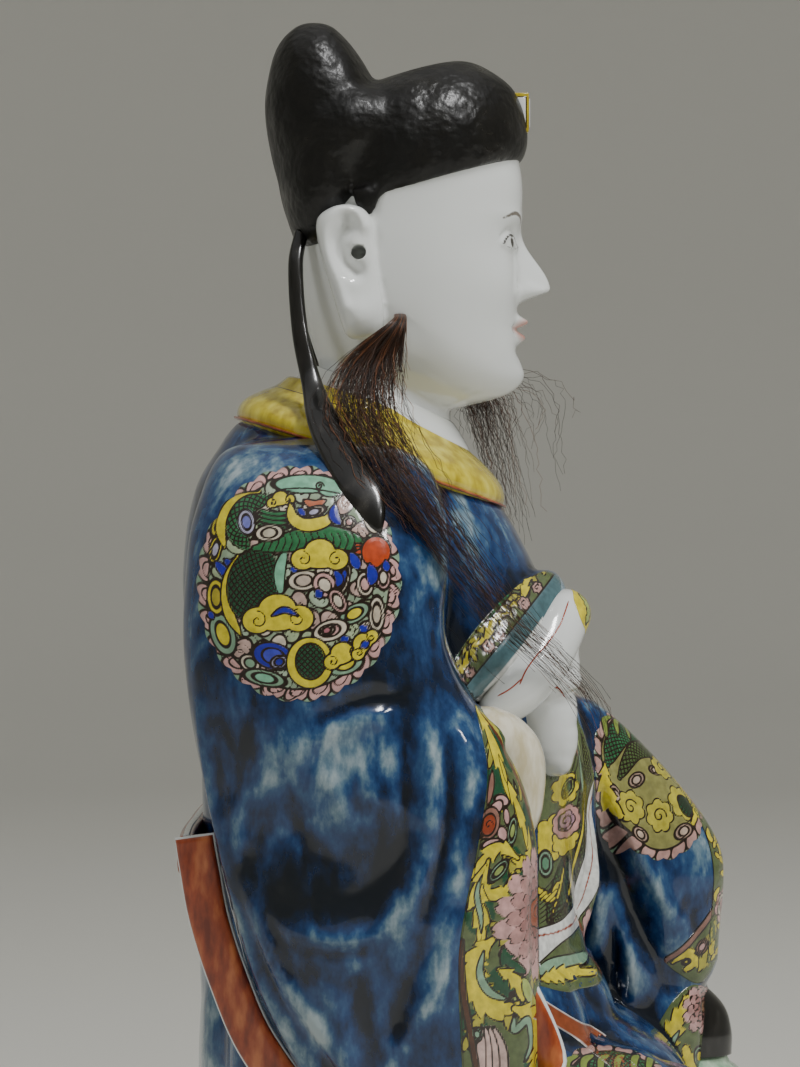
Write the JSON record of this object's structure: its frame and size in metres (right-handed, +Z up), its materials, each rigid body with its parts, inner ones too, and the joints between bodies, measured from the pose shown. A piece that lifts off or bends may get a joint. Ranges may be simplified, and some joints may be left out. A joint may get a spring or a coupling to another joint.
{
  "type": "seated porcelain figure",
  "caption": "Seated robed official in glazed porcelain with a black cap, painted roundels and borders, and a beard of real hair.",
  "frame": {"origin": "middle of the underside of the base", "axes": "+Z up, -Y the way the figure faces, +X towards the figure's left hand"},
  "size_m": [0.1684, 0.1868, 0.414],
  "materials": {
    "glazed_porcelain": "glazed porcelain painted in blue, black, yellow, pink, green and iron-red enamels",
    "hair": "real dark brown hair"
  },
  "bodies": {
    "root": {"porcelain_figure": "glazed_porcelain", "hair_tuft_right": "hair", "hair_tuft_left": "hair"}
  },
  "joints": []
}
